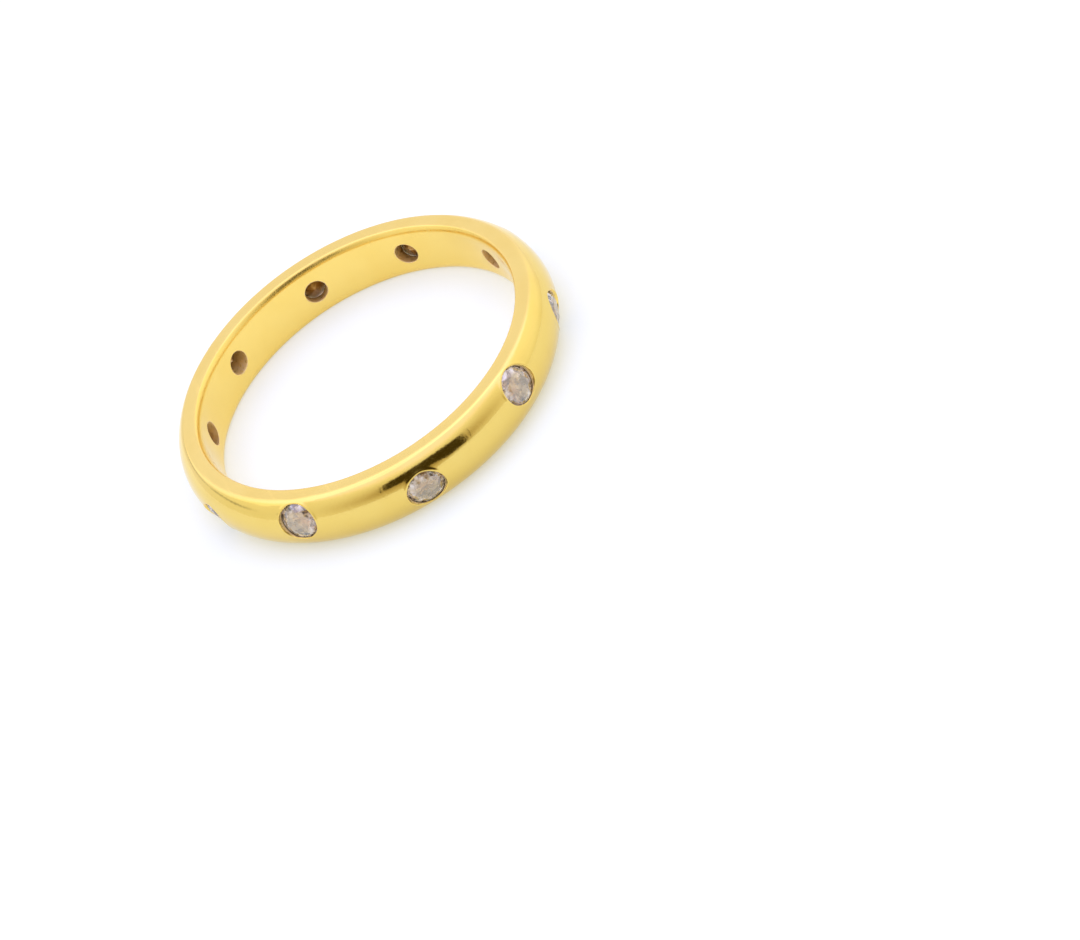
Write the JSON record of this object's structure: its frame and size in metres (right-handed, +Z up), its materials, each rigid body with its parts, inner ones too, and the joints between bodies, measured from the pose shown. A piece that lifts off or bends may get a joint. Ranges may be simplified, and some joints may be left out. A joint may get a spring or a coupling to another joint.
{
  "type": "stackable ring",
  "caption": "Slim gold stacking ring with flat sides and a domed outside, flush set all round with small staggered round brilliants, each seat open through to the bore.",
  "frame": {"origin": "centre of the underside: the middle of the finger hole, on the flat side that the ring lies on", "axes": "+Z up along the finger, through the hole; -Y is the front, between the two stones nearest the camera; +X to the right"},
  "size_m": [0.02, 0.02, 0.0029],
  "materials": {
    "gold": "worn polish on yellow gold of about 18 carat, softly blurred, with fine scratches",
    "diamond": "cut diamond, faceted, slightly grey"
  },
  "bodies": {
    "root": {"band": "gold", "diamond_01": "diamond", "diamond_02": "diamond", "diamond_03": "diamond", "diamond_04": "diamond", "diamond_05": "diamond", "diamond_06": "diamond", "diamond_07": "diamond", "diamond_08": "diamond", "diamond_09": "diamond", "diamond_10": "diamond"}
  },
  "joints": []
}
